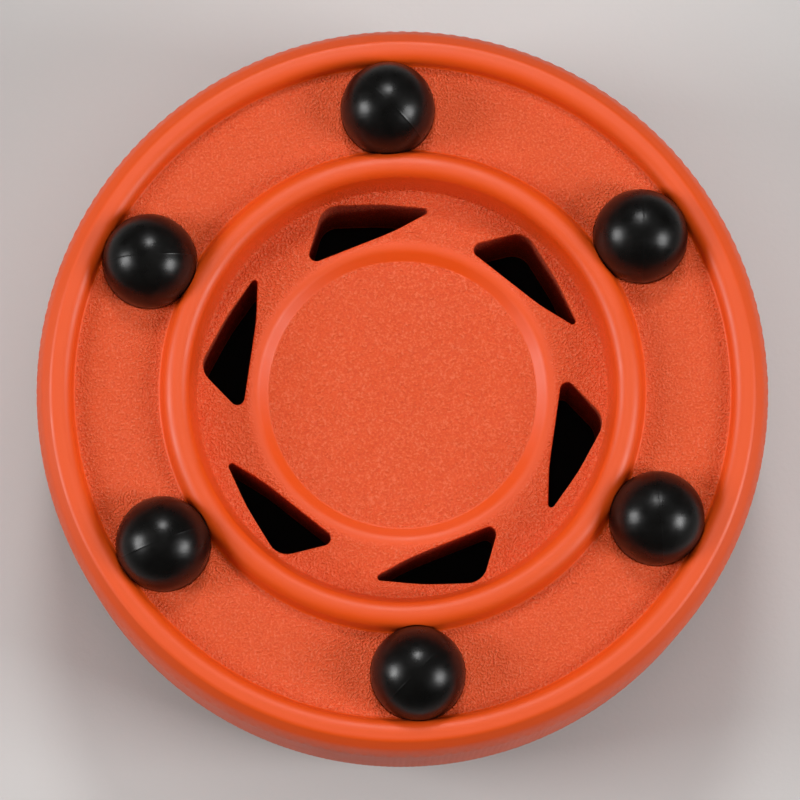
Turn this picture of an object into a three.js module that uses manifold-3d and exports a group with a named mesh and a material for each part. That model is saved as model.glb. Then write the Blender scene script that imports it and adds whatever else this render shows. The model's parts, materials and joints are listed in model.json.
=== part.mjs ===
import * as THREE from 'three';
import { mergeVertices } from 'three/addons/utils/BufferGeometryUtils.js';
import Module from 'manifold-3d';

// A street hockey puck: one flexible moulded body that carries six loose, slippery runners.
// Millimetres, +Z up. The origin is on the ground below the puck's centre, where the lower
// runner heads stand. The two faces are alike, so shapes are drawn once, above the mid-plane.

// Driving dimensions of the body.
const PUCK_DIAMETER = 76.2;
const LIP_THICKNESS = 25.4; // between the crests of the two outer lips
const LIP_INNER_RADIUS = 34.5;
const LIP_OUTER_RADIUS = 36.45;
const CHANNEL_OUTER_RADIUS = 34.15;
const RIDGE_RISE = 0.5; // above the lip's crest
const CHANNEL_DEPTH = 1.8; // below the lip's crest, as are the next two
const DECK_DEPTH = 4.5;
const DISC_DEPTH = 5.4;
const RIDGE_OUTER_RADIUS = 25.2; // at the foot of its wall, as is the next
const RIDGE_INNER_RADIUS = 21.4;
const DISC_RADIUS = 14.2;

// Driving dimensions of the runners.
const RUNNER_COUNT = 6;
const RUNNER_PITCH_RADIUS = 29.5;
const RUNNER_FIRST_ANGLE = 30; // degrees
const HEAD_RADIUS = 4.9;
const HEAD_PROUD = 4.2; // how far a head stands out past the lip's crest
const HEAD_SKIRT = 1.2; // the straight rim below the dome
const STEM_RADIUS = 2.7;
const STEM_CLEARANCE = 0.3;
const HEAD_CLEARANCE = 0.35;
const SEAT_RECESS = 0.6; // each runner's seat lies this far below the channel floor

// Driving dimensions of the air vents, which lean round the centre like the blades of a fan.
const VENT_COUNT = 6;
const VENT_FIRST_ANGLE = 41.65; // degrees
// One vent's corners as [clockwise of its angle, distance from the axis, corner radius].
const VENT_CORNERS = [
  [8.5, 17.95, 0.42],
  [3.5, 16.7, 20],
  [-6.6, 15.45, 0.85],
  [-3.1, 21.35, 2.2],
  [3.0, 19.95, 20],
];

// Fineness of the faceted solids.
const BODY_SEGMENTS = 60;
const RUNNER_SEGMENTS = 20;
const DOME_STEPS = 6;
const FILLET_STEPS = 2;

// Sizes worked out from the driving dimensions.
const PUCK_RADIUS = PUCK_DIAMETER / 2;
const CREST = LIP_THICKNESS / 2;
const MID_HEIGHT = CREST + HEAD_PROUD;
const CHANNEL_FLOOR = CREST - CHANNEL_DEPTH;
const RIDGE_TOP = CREST + RIDGE_RISE;
const DECK = CREST - DECK_DEPTH;
const DISC = CREST - DISC_DEPTH;
const HEAD_TOP = MID_HEIGHT;
const HEAD_EQUATOR = HEAD_TOP - HEAD_RADIUS;
const HEAD_UNDERSIDE = HEAD_EQUATOR - HEAD_SKIRT;

const BODY_MATERIAL = new THREE.MeshStandardMaterial({ color: 0xe2592b, roughness: 0.45, metalness: 0 });
const RUNNER_MATERIAL = new THREE.MeshStandardMaterial({ color: 0x0e0d0c, roughness: 0.22, metalness: 0 });

const wasm = await Module();
wasm.setup();

// The points that round one corner between its two neighbours. A corner is [x, y, radius],
// and one with no radius stays sharp.
function cornerArc(before, corner, after, steps) {
  const at = new THREE.Vector2(corner[0], corner[1]);
  const radius = corner[2];
  if (radius === undefined) return [at];
  const towardBefore = new THREE.Vector2(before[0], before[1]).sub(at).normalize();
  const towardAfter = new THREE.Vector2(after[0], after[1]).sub(at).normalize();
  const halfAngle = Math.acos(towardBefore.dot(towardAfter)) / 2;
  const centre = towardBefore.clone().add(towardAfter).normalize();
  centre.multiplyScalar(radius / Math.sin(halfAngle)).add(at);
  const reach = radius / Math.tan(halfAngle);
  const start = towardBefore.multiplyScalar(reach).add(at).sub(centre);
  const end = towardAfter.multiplyScalar(reach).add(at).sub(centre);
  const turn = Math.atan2(start.cross(end), start.dot(end));
  const points = [];
  for (let i = 0; i <= steps; i++) {
    points.push(start.clone().rotateAround(new THREE.Vector2(), (turn * i) / steps).add(centre));
  }
  return points;
}

// A closed loop of rounded corners.
function roundedOutline(corners, steps) {
  const count = corners.length;
  return corners.flatMap((corner, i) =>
    cornerArc(corners[(i + count - 1) % count], corner, corners[(i + 1) % count], steps));
}

// An open line of rounded corners, without its first point.
function roundedProfile(corners, steps) {
  return corners.slice(1).flatMap((corner, i) => cornerArc(corners[i], corner, corners[i + 2], steps));
}

// Turns a profile above the mid-plane, given from the rim to the axis, into a whole lathed
// solid that is the same above and below.
function mirroredLathe(upperHalf, segments) {
  const lowerHalf = upperHalf.map((point) => new THREE.Vector2(point.x, -point.y)).reverse();
  const geometry = new THREE.LatheGeometry([...lowerHalf, ...upperHalf], segments);
  return geometry.rotateX(Math.PI / 2);
}

function solidOf(geometry) {
  const bare = geometry.clone();
  bare.deleteAttribute('normal');
  bare.deleteAttribute('uv');
  const merged = mergeVertices(bare, 1e-4);
  return new wasm.Manifold(new wasm.Mesh({
    numProp: 3,
    vertProperties: Float32Array.from(merged.attributes.position.array),
    triVerts: Uint32Array.from(merged.index.array),
  }));
}

function geometryOf(solid) {
  const mesh = solid.getMesh();
  const geometry = new THREE.BufferGeometry();
  geometry.setAttribute('position', new THREE.BufferAttribute(mesh.vertProperties, 3));
  geometry.setIndex(new THREE.BufferAttribute(mesh.triVerts, 1));
  return geometry;
}

// The body before it is pierced: lip, channel, ridge, deck and centre disc on both faces.
function bodyBlank() {
  const corners = [
    [PUCK_RADIUS, 0],
    [PUCK_RADIUS, CREST - 2.8, 2.5],
    [PUCK_RADIUS - 0.65, CREST - 1.15, 1.8],
    [LIP_OUTER_RADIUS, CREST, 0.8],
    [LIP_INNER_RADIUS, CREST, 1.2],
    [CHANNEL_OUTER_RADIUS, CHANNEL_FLOOR],
    [RIDGE_OUTER_RADIUS, CHANNEL_FLOOR],
    [RIDGE_OUTER_RADIUS - 0.6, RIDGE_TOP, 0.8],
    [RIDGE_INNER_RADIUS + 0.9, RIDGE_TOP, 1.1],
    [RIDGE_INNER_RADIUS, DECK],
    [DISC_RADIUS + 0.4, DECK],
    [DISC_RADIUS - 0.2, DISC],
    [0, DISC],
  ];
  return solidOf(mirroredLathe(roundedProfile(corners, FILLET_STEPS), BODY_SEGMENTS));
}

function ventCutter(index) {
  const outline = new THREE.Shape(roundedOutline(VENT_CORNERS, 3));
  const depth = LIP_THICKNESS;
  const geometry = new THREE.ExtrudeGeometry(outline, { depth, bevelEnabled: false });
  geometry.translate(0, 0, -depth / 2);
  geometry.rotateZ(THREE.MathUtils.degToRad(VENT_FIRST_ANGLE + (360 / VENT_COUNT) * index - 90));
  return solidOf(geometry);
}

function runnerPlace(index) {
  const angle = THREE.MathUtils.degToRad(RUNNER_FIRST_ANGLE + (360 / RUNNER_COUNT) * index);
  return new THREE.Vector3(Math.cos(angle), Math.sin(angle), 0).multiplyScalar(RUNNER_PITCH_RADIUS);
}

// The bore for one runner's stem, with the round seat that its head drops into on each face.
function runnerCutter(index) {
  const seat = CHANNEL_FLOOR - SEAT_RECESS;
  const seatRadius = HEAD_RADIUS + HEAD_CLEARANCE;
  const upperHalf = [
    new THREE.Vector2(STEM_RADIUS + STEM_CLEARANCE, seat),
    new THREE.Vector2(seatRadius, seat),
    new THREE.Vector2(seatRadius, LIP_THICKNESS),
    new THREE.Vector2(0, LIP_THICKNESS),
  ];
  const geometry = mirroredLathe(upperHalf, RUNNER_SEGMENTS);
  const place = runnerPlace(index);
  geometry.translate(place.x, place.y, 0);
  return solidOf(geometry);
}

function bodyGeometry() {
  let body = bodyBlank();
  for (let i = 0; i < VENT_COUNT; i++) body = body.subtract(ventCutter(i));
  for (let i = 0; i < RUNNER_COUNT; i++) body = body.subtract(runnerCutter(i));
  return geometryOf(body);
}

// A runner is one moulding: a stem with a domed head on each end.
function runnerGeometry() {
  const upperHalf = [
    new THREE.Vector2(STEM_RADIUS, HEAD_UNDERSIDE),
    new THREE.Vector2(HEAD_RADIUS, HEAD_UNDERSIDE),
  ];
  for (let i = 0; i <= DOME_STEPS; i++) {
    const angle = (Math.PI / 2) * (i / DOME_STEPS);
    const x = i === DOME_STEPS ? 0 : HEAD_RADIUS * Math.cos(angle);
    upperHalf.push(new THREE.Vector2(x, HEAD_EQUATOR + HEAD_RADIUS * Math.sin(angle)));
  }
  return geometryOf(solidOf(mirroredLathe(upperHalf, RUNNER_SEGMENTS)));
}

const puck = new THREE.Group();
puck.position.z = MID_HEIGHT;

const body = new THREE.Mesh(bodyGeometry(), BODY_MATERIAL);
body.name = 'puck_body';
puck.add(body);

for (let i = 0; i < RUNNER_COUNT; i++) {
  const runner = new THREE.Mesh(runnerGeometry(), RUNNER_MATERIAL.clone());
  runner.name = `runner_${i + 1}`;
  runner.position.copy(runnerPlace(i));
  puck.add(runner);
}

const part = new THREE.Group();
part.add(puck);
export default part;
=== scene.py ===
import json
import math

import bmesh
import bpy
from mathutils import Matrix, Vector


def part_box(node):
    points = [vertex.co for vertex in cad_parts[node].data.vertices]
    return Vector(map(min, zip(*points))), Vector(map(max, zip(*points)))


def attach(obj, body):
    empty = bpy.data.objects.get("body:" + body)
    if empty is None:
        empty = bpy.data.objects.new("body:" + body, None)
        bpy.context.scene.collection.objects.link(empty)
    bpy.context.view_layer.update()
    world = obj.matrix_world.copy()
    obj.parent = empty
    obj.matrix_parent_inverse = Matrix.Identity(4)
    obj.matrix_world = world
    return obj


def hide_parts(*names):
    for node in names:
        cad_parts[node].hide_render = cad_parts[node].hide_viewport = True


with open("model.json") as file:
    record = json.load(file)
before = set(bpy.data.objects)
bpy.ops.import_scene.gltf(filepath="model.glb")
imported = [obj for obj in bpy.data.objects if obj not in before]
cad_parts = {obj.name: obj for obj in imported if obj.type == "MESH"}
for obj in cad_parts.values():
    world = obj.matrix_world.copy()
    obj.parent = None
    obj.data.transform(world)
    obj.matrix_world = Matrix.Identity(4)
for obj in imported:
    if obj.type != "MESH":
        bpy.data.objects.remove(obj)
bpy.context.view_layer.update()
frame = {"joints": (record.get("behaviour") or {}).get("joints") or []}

# A street hockey puck: one flexible orange moulding with six loose black runners.
# Shapes are drawn in millimetres about the puck's axis and mid-plane, and both faces are alike.
MM = 0.001
BODY_LOW, BODY_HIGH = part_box("puck_body")
PUCK_RADIUS = (BODY_HIGH.x - BODY_LOW.x) / 2 / MM
RIDGE_TOP = (BODY_HIGH.z - BODY_LOW.z) / 2 / MM
RIDGE_RISE = 0.5
CREST = RIDGE_TOP - RIDGE_RISE  # of the lip
MID_HEIGHT = (BODY_HIGH.z + BODY_LOW.z) / 2 / MM
RUNNER_LOW, RUNNER_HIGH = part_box("runner_1")
HEAD_RADIUS = (RUNNER_HIGH.x - RUNNER_LOW.x) / 2 / MM
HEAD_TOP = (RUNNER_HIGH.z - RUNNER_LOW.z) / 2 / MM

# Body: radii from the axis, and depths below the lip's crest.
LIP_OUTER_RADIUS = 36.45
SHOULDER_INSET = 0.65  # the shoulder bends again this far in from the side
SHOULDER_DEPTH = 1.15
SIDE_DEPTH = 2.8
CHANNEL_DEPTH = 1.8
DECK_DEPTH = 4.5
DISC_DEPTH = 5.4
DISC_STEP_FOOT = 14.05  # radii between which the disc's step slopes up to the deck
DISC_STEP_TOP = 15.15
RIDGE_INNER_RADIUS = 21.4  # at the foot of its wall, as are the next two
RIDGE_OUTER_RADIUS = 25.2
CHANNEL_OUTER_RADIUS = 34.15
WALL_SLOPE = math.radians(80)  # of the walls that face the axis
RIDGE_SLOPE = math.radians(9)  # the crests of the ridge and lip fall away from the axis
LIP_SLOPE = math.radians(5)
RIDGE_ROUNDING = (1.25, 1.4)  # at its inner and outer edge
LIP_ROUNDING = (1.25, 0.8)
RIDGE_DRAFT = 0.6  # how far its outer wall leans in
BODY_SEGMENTS = 270

# Knurl on the side: diamonds in rows, each row half a tooth further round.
KNURL_TEETH = 180
KNURL_SAMPLES = 6  # points across one tooth
KNURL_ROWS = 13
KNURL_ROW_SAMPLES = 4
KNURL_DEPTH = 0.14
KNURL_START_RADIUS = 37.3  # the first row lies on the shoulder

# Vents, each drawn with corners at (clockwise of its angle, distance from the axis, corner radius).
VENT_COUNT = 6
VENT_FIRST_ANGLE = 41.65
VENT_CORNERS = (
    (8.5, 17.95, 0.42),
    (3.5, 16.7, 20),
    (-6.6, 15.45, 0.85),
    (-3.1, 21.35, 2.2),
    (3.0, 19.95, 20),
)
VENT_MOUTH = 0.16  # rounding of the mouth

# Runners.
STEM_RADIUS = 2.7
BORE_RADIUS = 3.0
SEAT_RADIUS = HEAD_RADIUS + 0.06
SEAT_RECESS = 0.6
HEAD_SKIRT = 1.2
DOME_STEPS = 40
PARTING_ANGLES = {
    "runner_1": 87,
    "runner_2": -47,
    "runner_3": 2,
    "runner_4": 18,
    "runner_5": 42,
    "runner_6": 93,
}
PARTING_HEIGHT = 0.03
PARTING_WIDTH = 0.14


# ---------- outlines ----------

def fillet(before, corner, after, degrees_per_step=12):
    """The points that round one corner, given as (x, y, radius). A corner without a radius stays sharp."""
    at = Vector(corner[:2])
    if len(corner) == 2:
        return [at]
    to_before = (Vector(before[:2]) - at).normalized()
    to_after = (Vector(after[:2]) - at).normalized()
    half = math.acos(to_before.dot(to_after)) / 2
    reach = corner[2] / math.tan(half)
    centre = at + (to_before + to_after).normalized() * corner[2] / math.sin(half)
    start = at + to_before * reach - centre
    end = at + to_after * reach - centre
    turn = math.atan2(start.x * end.y - start.y * end.x, start.dot(end))
    steps = max(2, round(abs(math.degrees(turn)) / degrees_per_step))
    return [centre + Matrix.Rotation(turn * i / steps, 2) @ start for i in range(steps + 1)]


def rounded_outline(corners):
    count = len(corners)
    points = []
    for i, corner in enumerate(corners):
        points += fillet(corners[i - 1], corner, corners[(i + 1) % count])
    return points


def crest_corners(foot, top, slope, edge_radius, roundings):
    """The two corners of a lip or ridge above a wall's foot. Once rounded, it reaches the top height."""
    rounding, edge_rounding = roundings
    reach = rounding * math.tan((WALL_SLOPE + slope) / 2)
    peak = top + reach * math.sin(slope) - rounding * (1 - math.cos(slope))
    inner_radius = foot[0] + (peak - foot[1]) / math.tan(WALL_SLOPE)
    edge_height = peak - (edge_radius - inner_radius) * math.tan(slope)
    return (inner_radius, peak, rounding), (edge_radius, edge_height, edge_rounding)


def face_profile():
    """From the axis over the lip and down to the middle of the side, as (radius, height)."""
    disc = CREST - DISC_DEPTH
    deck = CREST - DECK_DEPTH
    channel = CREST - CHANNEL_DEPTH
    ridge_foot = (RIDGE_INNER_RADIUS, deck)
    lip_foot = (CHANNEL_OUTER_RADIUS, channel)
    ridge_edge = RIDGE_OUTER_RADIUS - RIDGE_DRAFT
    ridge = crest_corners(ridge_foot, RIDGE_TOP, RIDGE_SLOPE, ridge_edge, RIDGE_ROUNDING)
    lip = crest_corners(lip_foot, CREST, LIP_SLOPE, LIP_OUTER_RADIUS, LIP_ROUNDING)
    corners = [
        (0, disc),
        (DISC_STEP_FOOT - 0.45, disc),
        (DISC_STEP_FOOT, disc, 0.35),
        (DISC_STEP_TOP, deck, 1.2),
        (DISC_STEP_TOP + 0.55, deck),
        (RIDGE_INNER_RADIUS - 0.8, deck),
        (RIDGE_INNER_RADIUS, deck, 0.4),
        *ridge,
        (RIDGE_OUTER_RADIUS, channel, 0.5),
        (RIDGE_OUTER_RADIUS + 0.8, channel),
        (CHANNEL_OUTER_RADIUS - 0.8, channel),
        (CHANNEL_OUTER_RADIUS, channel, 0.45),
        *lip,
        (PUCK_RADIUS - SHOULDER_INSET, CREST - SHOULDER_DEPTH, 1.8),
        (PUCK_RADIUS, CREST - SIDE_DEPTH, 2.5),
        (PUCK_RADIUS, 0),
    ]
    points = [Vector(corners[0])]
    for before, corner, after in zip(corners, corners[1:], corners[2:]):
        points += fillet(before, corner, after)
    return points + [Vector(corners[-1])]


def evenly_spaced(line, count):
    """count + 1 points at equal distances along a line of points."""
    lengths = [0.0]
    for a, b in zip(line, line[1:]):
        lengths.append(lengths[-1] + (b - a).length)
    spaced = []
    k = 0
    for i in range(count + 1):
        wanted = lengths[-1] * i / count
        while k < len(line) - 2 and lengths[k + 1] < wanted:
            k += 1
        share = (wanted - lengths[k]) / (lengths[k + 1] - lengths[k])
        spaced.append(line[k].lerp(line[k + 1], share))
    return spaced


# ---------- meshes ----------

def place(radius, angle, height):
    return Vector((radius * math.cos(angle), radius * math.sin(angle), height)) * MM


def ring(bm, radius, height, count):
    if radius == 0:
        return [bm.verts.new(place(0, 0, height))]
    return [bm.verts.new(place(radius, 2 * math.pi * i / count, height)) for i in range(count)]


def stitch(bm, first, second):
    """Joins two rings. One may be a single point, or hold several points for each of the other's."""
    if len(first) > len(second):
        first, second = second, first
    count = len(first)
    if count == 1:
        for i in range(len(second)):
            bm.faces.new((first[0], second[i - 1], second[i]))
        return
    share = len(second) // count
    for i in range(count):
        a = first[i]
        b = first[(i + 1) % count]
        near = [second[(i * share + j) % len(second)] for j in range(share + 1)]
        if share == 1:
            bm.faces.new((a, near[0], near[1], b))
            continue
        middle = share // 2
        bm.faces.new((a, near[middle], b))
        for j in range(share):
            bm.faces.new((a if j < middle else b, near[j], near[j + 1]))


def stitch_all(bm, rings):
    for first, second in zip(rings, rings[1:]):
        stitch(bm, first, second)


def object_from(bm, name):
    bmesh.ops.recalc_face_normals(bm, faces=bm.faces)
    mesh = bpy.data.meshes.new(name)
    bm.to_mesh(mesh)
    bm.free()
    piece = bpy.data.objects.new(name, mesh)
    bpy.context.scene.collection.objects.link(piece)
    return piece


def smooth(piece, degrees):
    piece.data.polygons.foreach_set("use_smooth", [True] * len(piece.data.polygons))
    piece.data.set_sharp_from_angle(angle=math.radians(degrees))


def weight_normals(piece):
    """Keeps large flat faces flat in shading where they meet small rounded ones."""
    modifier = piece.modifiers.new("normals", "WEIGHTED_NORMAL")
    modifier.keep_sharp = True
    modifier.weight = 100


def cut(piece, cutter):
    """Takes the cutter's solids out of the piece and deletes the cutter."""
    modifier = piece.modifiers.new("cut", "BOOLEAN")
    modifier.object = cutter
    modifier.operation = "DIFFERENCE"
    modifier.solver = "MANIFOLD"
    graph = bpy.context.evaluated_depsgraph_get()
    mesh = bpy.data.meshes.new_from_object(piece.evaluated_get(graph))
    mesh.materials.clear()
    piece.modifiers.clear()
    piece.data = mesh
    bpy.data.objects.remove(cutter)


# ---------- body ----------

def tooth_height(across, along):
    """Height of the knurl's rounded diamonds, 0 in the grooves and 1 on the crowns."""
    first = abs((across + along) % 1 - 0.5)
    second = abs((across - along) % 1 - 0.5)
    slope = 1 - 2 * max(first, second)
    return math.sin(math.pi / 2 * min(1, 1.25 * slope))


def knurl_rings(bm, half):
    line = half + [Vector((p.x, -p.y)) for p in reversed(half[:-1])]
    steps = KNURL_ROWS * KNURL_ROW_SAMPLES
    points = evenly_spaced(line, steps)
    count = KNURL_TEETH * KNURL_SAMPLES
    rings = []
    for j, point in enumerate(points):
        tangent = points[min(j + 1, steps)] - points[max(j - 1, 0)]
        inward = Vector((tangent.y, -tangent.x)).normalized()
        fade = min(1, min(j, steps - j) / KNURL_ROW_SAMPLES)
        verts = []
        for i in range(count):
            height = tooth_height(i / KNURL_SAMPLES, j / KNURL_ROW_SAMPLES)
            sunk = point + inward * KNURL_DEPTH * fade * (1 - height)
            verts.append(bm.verts.new(place(sunk.x, 2 * math.pi * i / count, sunk.y)))
        rings.append(verts)
    return rings


def body_blank():
    profile = face_profile()
    split = next(i for i, p in enumerate(profile) if p.x > KNURL_START_RADIUS)
    bm = bmesh.new()
    upper = [ring(bm, p.x, p.y, BODY_SEGMENTS) for p in profile[:split]]
    lower = [ring(bm, p.x, -p.y, BODY_SEGMENTS) for p in profile[:split]]
    stitch_all(bm, upper + knurl_rings(bm, profile[split:]) + lower[::-1])
    return object_from(bm, "body_moulding")


def vent_sections():
    """(height, widening) of one vent's walls, which are rounded where they meet the deck."""
    deck = CREST - DECK_DEPTH
    arc = []
    for degrees in range(0, 90, 15):
        angle = math.radians(degrees)
        arc.append((deck - VENT_MOUTH * (1 - math.sin(angle)), VENT_MOUTH * (1 - math.cos(angle))))
    upper = arc + [(deck + 0.02, VENT_MOUTH), (RIDGE_TOP, VENT_MOUTH)]
    return [(-height, wide) for height, wide in reversed(upper)] + upper


def add_vent_cutter(bm, turn):
    outline = rounded_outline(VENT_CORNERS)
    count = len(outline)
    outward = []
    for i in range(count):
        along = outline[(i + 1) % count] - outline[i - 1]
        outward.append(Vector((-along.y, along.x)).normalized())
    spin = Matrix.Rotation(turn, 2)
    rings = []
    for height, widening in vent_sections():
        points = [spin @ (p + n * (widening - VENT_MOUTH / 2)) for p, n in zip(outline, outward)]
        rings.append([bm.verts.new(Vector((p.x, p.y, height)) * MM) for p in points])
    stitch_all(bm, rings)
    bm.faces.new(rings[0])
    bm.faces.new(rings[-1])


def add_lathed_cutter(bm, upper_half, centre, segments):
    points = [(r, -h) for r, h in reversed(upper_half)] + list(upper_half)
    rings = []
    for radius, height in points:
        verts = ring(bm, radius, height, segments)
        for v in verts:
            v.co += centre
        rings.append(verts)
    stitch_all(bm, rings)


def runner_centre(joint):
    return Vector((joint["pos_m"][0], joint["pos_m"][1], 0))


def build_body():
    body = body_blank()
    bm = bmesh.new()
    for k in range(VENT_COUNT):
        add_vent_cutter(bm, math.radians(VENT_FIRST_ANGLE + 360 / VENT_COUNT * k - 90))
    seat = CREST - CHANNEL_DEPTH - SEAT_RECESS
    clear = RIDGE_TOP + 1
    bore = (
        (BORE_RADIUS, seat - 0.4),
        (BORE_RADIUS + 0.3, seat),
        (SEAT_RADIUS, seat),
        (SEAT_RADIUS, clear),
        (0, clear),
    )
    for joint in frame["joints"]:
        add_lathed_cutter(bm, bore, runner_centre(joint), 96)
    cut(body, object_from(bm, "cutter"))
    body.location.z = MID_HEIGHT * MM
    smooth(body, 35)
    weight_normals(body)
    return body


# ---------- runners ----------

def runner_half():
    """Half of one runner's side, from its middle to its crown."""
    equator = HEAD_TOP - HEAD_RADIUS
    underside = equator - HEAD_SKIRT
    corners = [
        (STEM_RADIUS, 0),
        (STEM_RADIUS, underside - 2),
        (STEM_RADIUS, underside, 0.3),
        (HEAD_RADIUS, underside, 0.35),
        (HEAD_RADIUS, equator),
    ]
    points = [Vector(corners[0])]
    for before, corner, after in zip(corners, corners[1:], corners[2:]):
        points += fillet(before, corner, after)
    for i in range(DOME_STEPS):
        angle = math.pi / 2 * i / DOME_STEPS
        points.append(Vector((HEAD_RADIUS * math.cos(angle), equator + HEAD_RADIUS * math.sin(angle))))
    return points + [Vector((0, HEAD_TOP))]


def runner_angles():
    """Directions round a runner in degrees, close together at its parting line (0 and 180)."""
    fine = [0, 0.5, 1.0, 1.5, 2.2]
    half = fine + list(range(5, 176, 5)) + [180 - a for a in reversed(fine[1:])]
    return half + [a + 180 for a in half]


def build_runner(name, centre):
    half = runner_half()
    angles = [math.radians(a) for a in runner_angles()]
    bm = bmesh.new()
    rings = []
    for p in [Vector((q.x, -q.y)) for q in reversed(half)] + half[1:]:
        if p.x == 0:
            rings.append([bm.verts.new(place(0, 0, p.y))])
            continue
        rings.append([bm.verts.new(place(p.x, a, p.y)) for a in angles])
    stitch_all(bm, rings)
    raise_parting_line(bm)
    turn = Matrix.Rotation(math.radians(PARTING_ANGLES[name]), 3, "Z")
    bmesh.ops.rotate(bm, verts=bm.verts, matrix=turn)
    runner = object_from(bm, name + "_moulding")
    runner.location = centre + Vector((0, 0, MID_HEIGHT * MM))
    smooth(runner, 50)
    return runner


def raise_parting_line(bm):
    """Leaves a fine rounded bead where the two mould halves met, by drawing in what is beside it."""
    for v in bm.verts:
        aside = abs(v.co.y) / MM / (PARTING_WIDTH / 2)
        lift = PARTING_HEIGHT * math.exp(-aside * aside)
        size = Vector((v.co.x, v.co.y)).length
        if size > 0.1 * MM:
            v.co.x *= 1 - (PARTING_HEIGHT - lift) * MM / size


# ---------- materials ----------

ORANGE = (0.84, 0.082, 0.0012, 1)
ORANGE_DEEP = (0.80, 0.076, 0.0009, 1)
VENT_WALL_PAINTED_SHADE = (0.30, 0.018, 0.0004, 1)  # painted shade: the walls inside the vents, painted darker with depth as if in shadow
# Painted highlight and shade: grain crowns get a lighter, whiter orange and pits a darker one, standing in
# for glints and shade on the grain.
GRAIN_CROWN_HIGHLIGHT = (0.88, 0.155, 0.055, 1)
GRAIN_PIT_SHADE = (0.75, 0.058, 0.0005, 1)
DUST = (0.75, 0.55, 0.45, 1)
GRAIN_SCALE = 4300  # of the noise, which puts its flecks about 0.28 mm apart
GRAIN_RELIEF = 0.31 * MM
BLACK = (0.0040, 0.0037, 0.0034, 1)
BLACK_WORN = (0.0075, 0.0070, 0.0065, 1)
SCUFF_RELIEF = 0.006 * MM


def new_material(name):
    material = bpy.data.materials.new(name)
    material.use_nodes = True
    return material, material.node_tree, material.node_tree.nodes["Principled BSDF"]


def add_node(tree, kind, inputs, **settings):
    """A new shader node. Each input is a value, or another node's output to link."""
    node = tree.nodes.new("ShaderNode" + kind)
    for name, value in settings.items():
        setattr(node, name, value)
    for key, value in inputs.items():
        if isinstance(value, bpy.types.NodeSocket):
            tree.links.new(value, node.inputs[key])
        else:
            node.inputs[key].default_value = value
    return node


def calculate(tree, operation, *values):
    return add_node(tree, "Math", dict(enumerate(values)), operation=operation).outputs[0]


def remap(tree, value, low, high, to_low=0.0, to_high=1.0):
    inputs = {"Value": value, "From Min": low, "From Max": high, "To Min": to_low, "To Max": to_high}
    return add_node(tree, "MapRange", inputs).outputs["Result"]


def noise(tree, vector, scale, detail=2.0, roughness=0.5):
    inputs = {"Vector": vector, "Scale": scale, "Detail": detail, "Roughness": roughness}
    return add_node(tree, "TexNoise", inputs).outputs["Fac"]


def mix_colour(tree, share, first, second):
    return add_node(tree, "Mix", {"Factor": share, 6: first, 7: second}, data_type="RGBA").outputs[2]


def ring_mask(tree, radius, low, high, soft):
    """1 between two radii, fading to 0 over the soft distance outside them. All are in millimetres."""
    rise = remap(tree, radius, (low - soft) * MM, low * MM)
    fall = remap(tree, radius, high * MM, (high + soft) * MM, 1, 0)
    return calculate(tree, "MULTIPLY", rise, fall)


def grained_area(tree, radius, height):
    """1 on the grained floors of the disc, deck and channel, and 0 elsewhere. The disc's step is smooth."""
    channel_floor = CREST - CHANNEL_DEPTH
    disc = ring_mask(tree, radius, -1, DISC_STEP_FOOT - 0.15, 0.15)
    deck = ring_mask(tree, radius, DISC_STEP_TOP + 1.25, RIDGE_INNER_RADIUS - 0.1, 0.8)
    middle = calculate(tree, "ADD", disc, deck)
    channel = ring_mask(tree, radius, RIDGE_OUTER_RADIUS + 0.2, CHANNEL_OUTER_RADIUS - 0.2, 0.12)
    low = remap(tree, height, (channel_floor + 0.15) * MM, (channel_floor + 0.3) * MM, 1, 0)
    return calculate(tree, "MULTIPLY", calculate(tree, "ADD", middle, channel), low)


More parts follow.
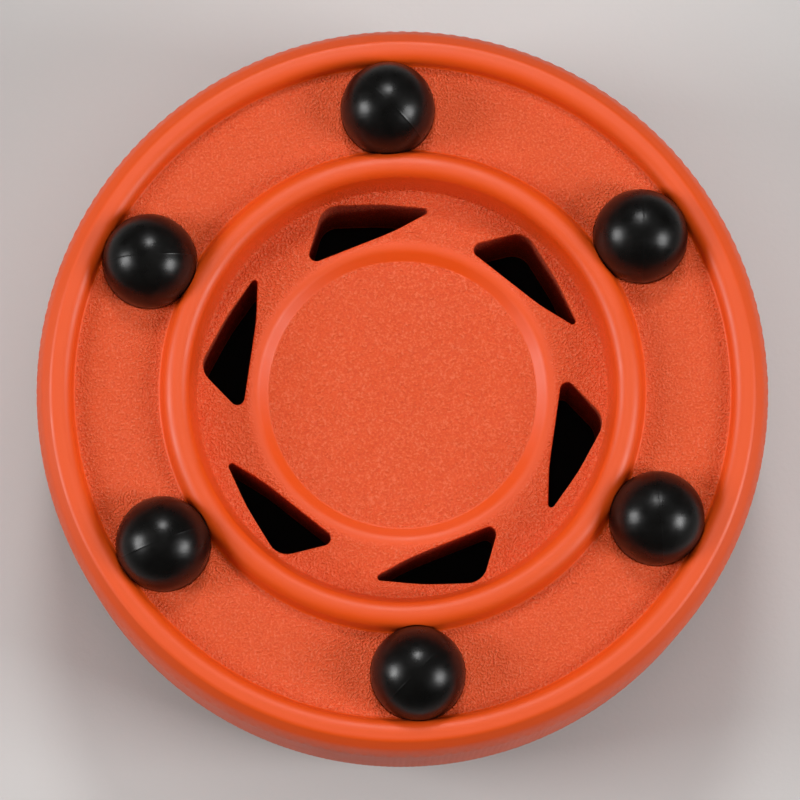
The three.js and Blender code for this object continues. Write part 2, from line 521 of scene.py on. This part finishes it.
def orange_plastic():
    material, tree, shader = new_material("orange_plastic")
    place_on = add_node(tree, "TexCoord", {}).outputs["Object"]
    parts = add_node(tree, "SeparateXYZ", {0: place_on})
    flat = add_node(tree, "CombineXYZ", {"X": parts.outputs["X"], "Y": parts.outputs["Y"]}).outputs[0]
    radius = add_node(tree, "VectorMath", {0: flat}, operation="LENGTH").outputs["Value"]
    height = calculate(tree, "ABSOLUTE", parts.outputs["Z"])
    grained = grained_area(tree, radius, height)

    cloud = noise(tree, place_on, 90, 3)
    patchy = remap(tree, cloud, 0.35, 0.65, -0.15, 0.15)
    shade = calculate(tree, "ADD", patchy, remap(tree, grained, 0, 1, 0.15, 0.85))
    colour = mix_colour(tree, shade, ORANGE, ORANGE_DEEP)
    # Painted shade: the vent walls are painted darker the deeper they lie below the deck, standing in for
    # the shade inside the vents.
    vent_shade_ring = ring_mask(tree, radius, DISC_STEP_TOP + 0.15, RIDGE_INNER_RADIUS, 0.1)
    deck = CREST - DECK_DEPTH
    vent_shade_depth = remap(tree, height, (deck - 0.1) * MM, (deck - 1.4) * MM)
    colour = mix_colour(tree, calculate(tree, "MULTIPLY", vent_shade_ring, vent_shade_depth), colour, VENT_WALL_PAINTED_SHADE)
    leather = calculate(tree, "SUBTRACT", noise(tree, place_on, GRAIN_SCALE, 2.0), 0.5)
    leather = calculate(tree, "MULTIPLY", leather, grained)
    # Painted highlight and shade: the grain's crowns are painted lighter and whiter and its pits darker,
    # standing in for glints and shade; the bump gives the real relief.
    colour = mix_colour(tree, remap(tree, leather, 0.01, 0.2, 0, 0.9), colour, GRAIN_CROWN_HIGHLIGHT)
    colour = mix_colour(tree, remap(tree, leather, -0.02, -0.2, 0, 0.9), colour, GRAIN_PIT_SHADE)
    cells = add_node(tree, "TexVoronoi", {"Vector": place_on, "Scale": 170}, feature="F1")
    speck = remap(tree, cells.outputs["Distance"], 0.022, 0.014)
    rare = remap(tree, cells.outputs["Color"], 0.80, 0.81)
    dusty = calculate(tree, "MULTIPLY", speck, rare)
    colour = mix_colour(tree, dusty, colour, DUST)
    tree.links.new(colour, shader.inputs["Base Color"])

    shader.inputs["Specular IOR Level"].default_value = 0.7
    smear = noise(tree, place_on, 400, 2)
    satin = remap(tree, smear, 0.3, 0.7, 0.45, 0.52)
    grain_rough = remap(tree, smear, 0.3, 0.7, 0.60, 0.68)
    rough = add_node(tree, "Mix", {"Factor": grained, 2: satin, 3: grain_rough}).outputs[0]
    tree.links.new(rough, shader.inputs["Roughness"])

    fine = calculate(tree, "MULTIPLY", noise(tree, place_on, 900, 3), 0.03)
    relief = calculate(tree, "ADD", leather, fine)
    bump = add_node(tree, "Bump", {"Height": relief, "Distance": GRAIN_RELIEF, "Strength": 1.0})
    tree.links.new(bump.outputs["Normal"], shader.inputs["Normal"])
    return material


def black_plastic():
    material, tree, shader = new_material("black_plastic")
    shader.inputs["Specular IOR Level"].default_value = 0.35
    place_on = add_node(tree, "TexCoord", {}).outputs["Object"]
    chance = add_node(tree, "ObjectInfo", {}).outputs["Random"]
    aside = add_node(tree, "CombineXYZ", {"X": chance, "Y": chance}).outputs[0]
    shifted = add_node(tree, "VectorMath", {0: place_on, 1: aside}, operation="ADD").outputs[0]
    cloud = noise(tree, shifted, 300, 4)
    colour = mix_colour(tree, remap(tree, cloud, 0.5, 0.75), BLACK, BLACK_WORN)
    tree.links.new(colour, shader.inputs["Base Color"])
    rough = remap(tree, noise(tree, shifted, 700, 4), 0.3, 0.7, 0.25, 0.36)
    tree.links.new(rough, shader.inputs["Roughness"])
    drawn_out = {"Vector": shifted, "Rotation": (0.3, 0.4, 0.9), "Scale": (40, 2200, 40)}
    streaks = add_node(tree, "Mapping", drawn_out).outputs[0]
    relief = noise(tree, streaks, 1, 2)
    bump = add_node(tree, "Bump", {"Height": relief, "Distance": SCUFF_RELIEF, "Strength": 1.0})
    tree.links.new(bump.outputs["Normal"], shader.inputs["Normal"])
    return material


# ---------- stage ----------

FLOOR_COLOUR = (0.58, 0.57, 0.56, 1)
# Painted shade: the floor darkens to this colour away from the puck, as if the light fell off there.
FAR_FLOOR_PAINTED_SHADE = (0.14, 0.138, 0.135, 1)
UNDER_PUCK_PAINTED_SHADOW = (0.01, 0.01, 0.01, 1)  # painted shadow: the floor under the puck is painted near black where shade falls, seen through the vents and beneath the rim
CAMERA_DISTANCE = 0.54
CAMERA_TILT = math.radians(6.75)
CAMERA_TURN = math.radians(-7.5)
CAMERA_UP = Vector((0.0529, 0.9986, 0))
CAMERA_AIM = Vector((-0.000350, -0.001120, (MID_HEIGHT + HEAD_TOP - HEAD_RADIUS) * MM))
FRAME_WIDTH = 0.08286  # what the view holds from side to side at the aim point


def camera_axes():
    back = Vector((math.sin(CAMERA_TILT) * math.sin(CAMERA_TURN),
                   -math.sin(CAMERA_TILT) * math.cos(CAMERA_TURN), math.cos(CAMERA_TILT)))
    right = CAMERA_UP.cross(back).normalized()
    return right, back.cross(right), back


def build_camera():
    right, up, back = camera_axes()
    data = bpy.data.cameras.new("camera")
    data.sensor_width = 36
    data.lens = 36 * CAMERA_DISTANCE / FRAME_WIDTH
    data.clip_start = 0.01
    camera = bpy.data.objects.new("camera", data)
    bpy.context.scene.collection.objects.link(camera)
    turn = Matrix((right, up, back)).transposed().to_4x4()
    camera.matrix_world = Matrix.Translation(CAMERA_AIM + back * CAMERA_DISTANCE) @ turn
    bpy.context.scene.camera = camera


def softbox(name, shape, direction, distance, size, power, shines=True):
    """A lamp that faces the puck. direction is right, up and back as the camera sees it."""
    right, up, back = camera_axes()
    way = Vector(direction).normalized()
    way = right * way.x + up * way.y + back * way.z
    data = bpy.data.lights.new(name, "AREA")
    data.shape = shape
    data.size = size
    data.energy = power
    lamp = bpy.data.objects.new(name, data)
    bpy.context.scene.collection.objects.link(lamp)
    lamp.location = way * distance
    lamp.rotation_euler = (-way).to_track_quat("-Z", "Y").to_euler()
    lamp.visible_glossy = shines
    return lamp


def build_lights():
    softbox("left_softbox", "SQUARE", (-0.853, 0.035, 0.514), 0.9, 0.32, 4.15)
    softbox("right_softbox", "SQUARE", (0.797, -0.134, 0.588), 0.9, 0.32, 4.15)
    softbox("back_lamp", "DISK", (0, 0.72, 0.694), 1.1, 0.24, 3.4)
    softbox("back_fill", "DISK", (0, 0.72, 0.694), 1.1, 1.0, 1.2, shines=False)
    softbox("top_fill", "DISK", (0, 0.1, 1), 1.2, 1.0, 3.8, shines=False)
    world = bpy.data.worlds.new("studio")
    bpy.context.scene.world = world
    world.use_nodes = True
    background = world.node_tree.nodes["Background"]
    background.inputs["Color"].default_value = (1, 1, 1, 1)
    background.inputs["Strength"].default_value = 0.01


def build_floor():
    bm = bmesh.new()
    bmesh.ops.create_grid(bm, x_segments=8, y_segments=8, size=1.5)
    floor = object_from(bm, "floor")
    material, tree, shader = new_material("floor_paper")
    place_on = add_node(tree, "TexCoord", {}).outputs["Object"]
    away = add_node(tree, "VectorMath", {0: place_on}, operation="LENGTH").outputs["Value"]
    # Painted shade: the floor is painted darker away from the puck, as if the light fell off there.
    colour = mix_colour(tree, remap(tree, away, 0.06, 0.18), FLOOR_COLOUR, FAR_FLOOR_PAINTED_SHADE)
    # Painted shadow: the floor under the puck is painted near black.
    under_puck_shadow = remap(tree, away, 0.034, 0.028)
    tree.links.new(mix_colour(tree, under_puck_shadow, colour, UNDER_PUCK_PAINTED_SHADOW), shader.inputs["Base Color"])
    shader.inputs["Roughness"].default_value = 0.9
    fibre = noise(tree, place_on, 1500, 3)
    bump = add_node(tree, "Bump", {"Height": fibre, "Distance": 0.00002})
    tree.links.new(bump.outputs["Normal"], shader.inputs["Normal"])
    floor.data.materials.append(material)


# ---------- the whole ----------

def build_puck():
    body = build_body()
    body.data.materials.append(orange_plastic())
    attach(body, "body")
    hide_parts("puck_body")
    black = black_plastic()
    for joint in frame["joints"]:
        name = joint["child"]
        runner = build_runner(name, runner_centre(joint))
        runner.data.materials.append(black)
        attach(runner, name)
        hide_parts(name)


build_camera()
build_puck()
build_floor()
build_lights()
bpy.context.scene.view_settings.view_transform = "Standard"
